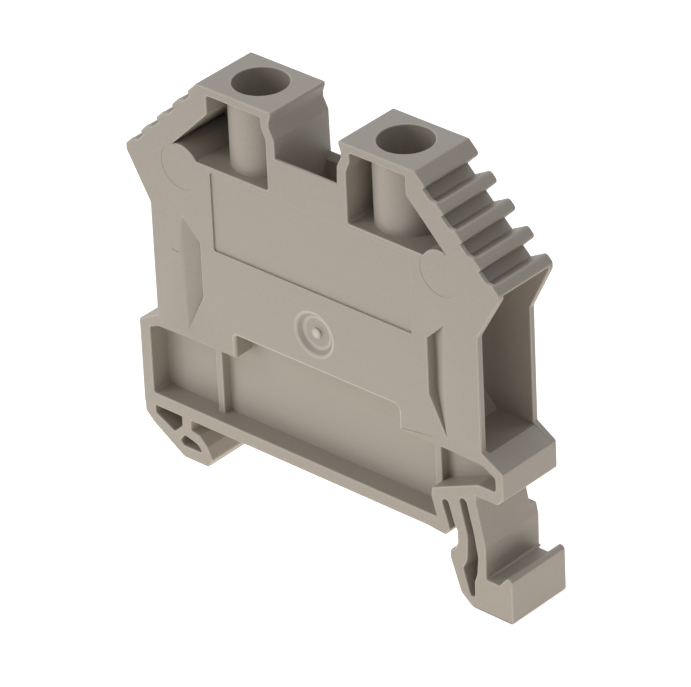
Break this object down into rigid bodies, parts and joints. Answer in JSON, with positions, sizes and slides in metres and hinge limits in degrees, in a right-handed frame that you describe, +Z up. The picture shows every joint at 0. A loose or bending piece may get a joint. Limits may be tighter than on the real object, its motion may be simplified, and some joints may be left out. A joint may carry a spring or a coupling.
{
  "type": "feed-through terminal block",
  "caption": "Slim rail-mounted feed-through terminal block with screw clamps, finned shoulders, wire funnels and a latching foot.",
  "frame": {"origin": "on the seat where the sole rests on the rail, in the middle between the two wire entries and between the two sides", "axes": "+X from one wire entry to the other, towards the rail latch; +Y along the rail, from the closed face to the open side; +Z up from the rail"},
  "size_m": [0.0493, 0.0082, 0.0479],
  "materials": {
    "housing": "satin grey moulded plastic",
    "bar": "tinned copper",
    "clamp": "zinc-plated steel",
    "screw": "zinc-plated steel"
  },
  "bodies": {
    "block": {"housing": "housing", "current_bar": "bar"},
    "left_yoke": {"left_clamp_yoke": "clamp"},
    "right_yoke": {"right_clamp_yoke": "clamp"},
    "left_screw": {"left_clamp_screw": "screw"},
    "right_screw": {"right_clamp_screw": "screw"}
  },
  "joints": [
    {"name": "left_screw_turn", "type": "hinge", "parent": "block", "child": "left_screw", "pos_m": [-0.00945, 0.0002, 0.03], "axis": [0, 0, -1], "range_deg": [0, 2572]},
    {"name": "right_screw_turn", "type": "hinge", "parent": "block", "child": "right_screw", "pos_m": [0.00945, 0.0002, 0.03], "axis": [0, 0, -1], "range_deg": [0, 2572]},
    {"name": "left_yoke_lift", "type": "slide", "parent": "block", "child": "left_yoke", "axis": [0, 0, 1], "range_m": [0, 0.005]},
    {"name": "right_yoke_lift", "type": "slide", "parent": "block", "child": "right_yoke", "axis": [0, 0, 1], "range_m": [0, 0.005]}
  ],
  "couplings": [
    {"joint": "left_screw_turn", "follows": "left_yoke_lift", "rad_per_m": 8976},
    {"joint": "right_screw_turn", "follows": "right_yoke_lift", "rad_per_m": 8976}
  ]
}
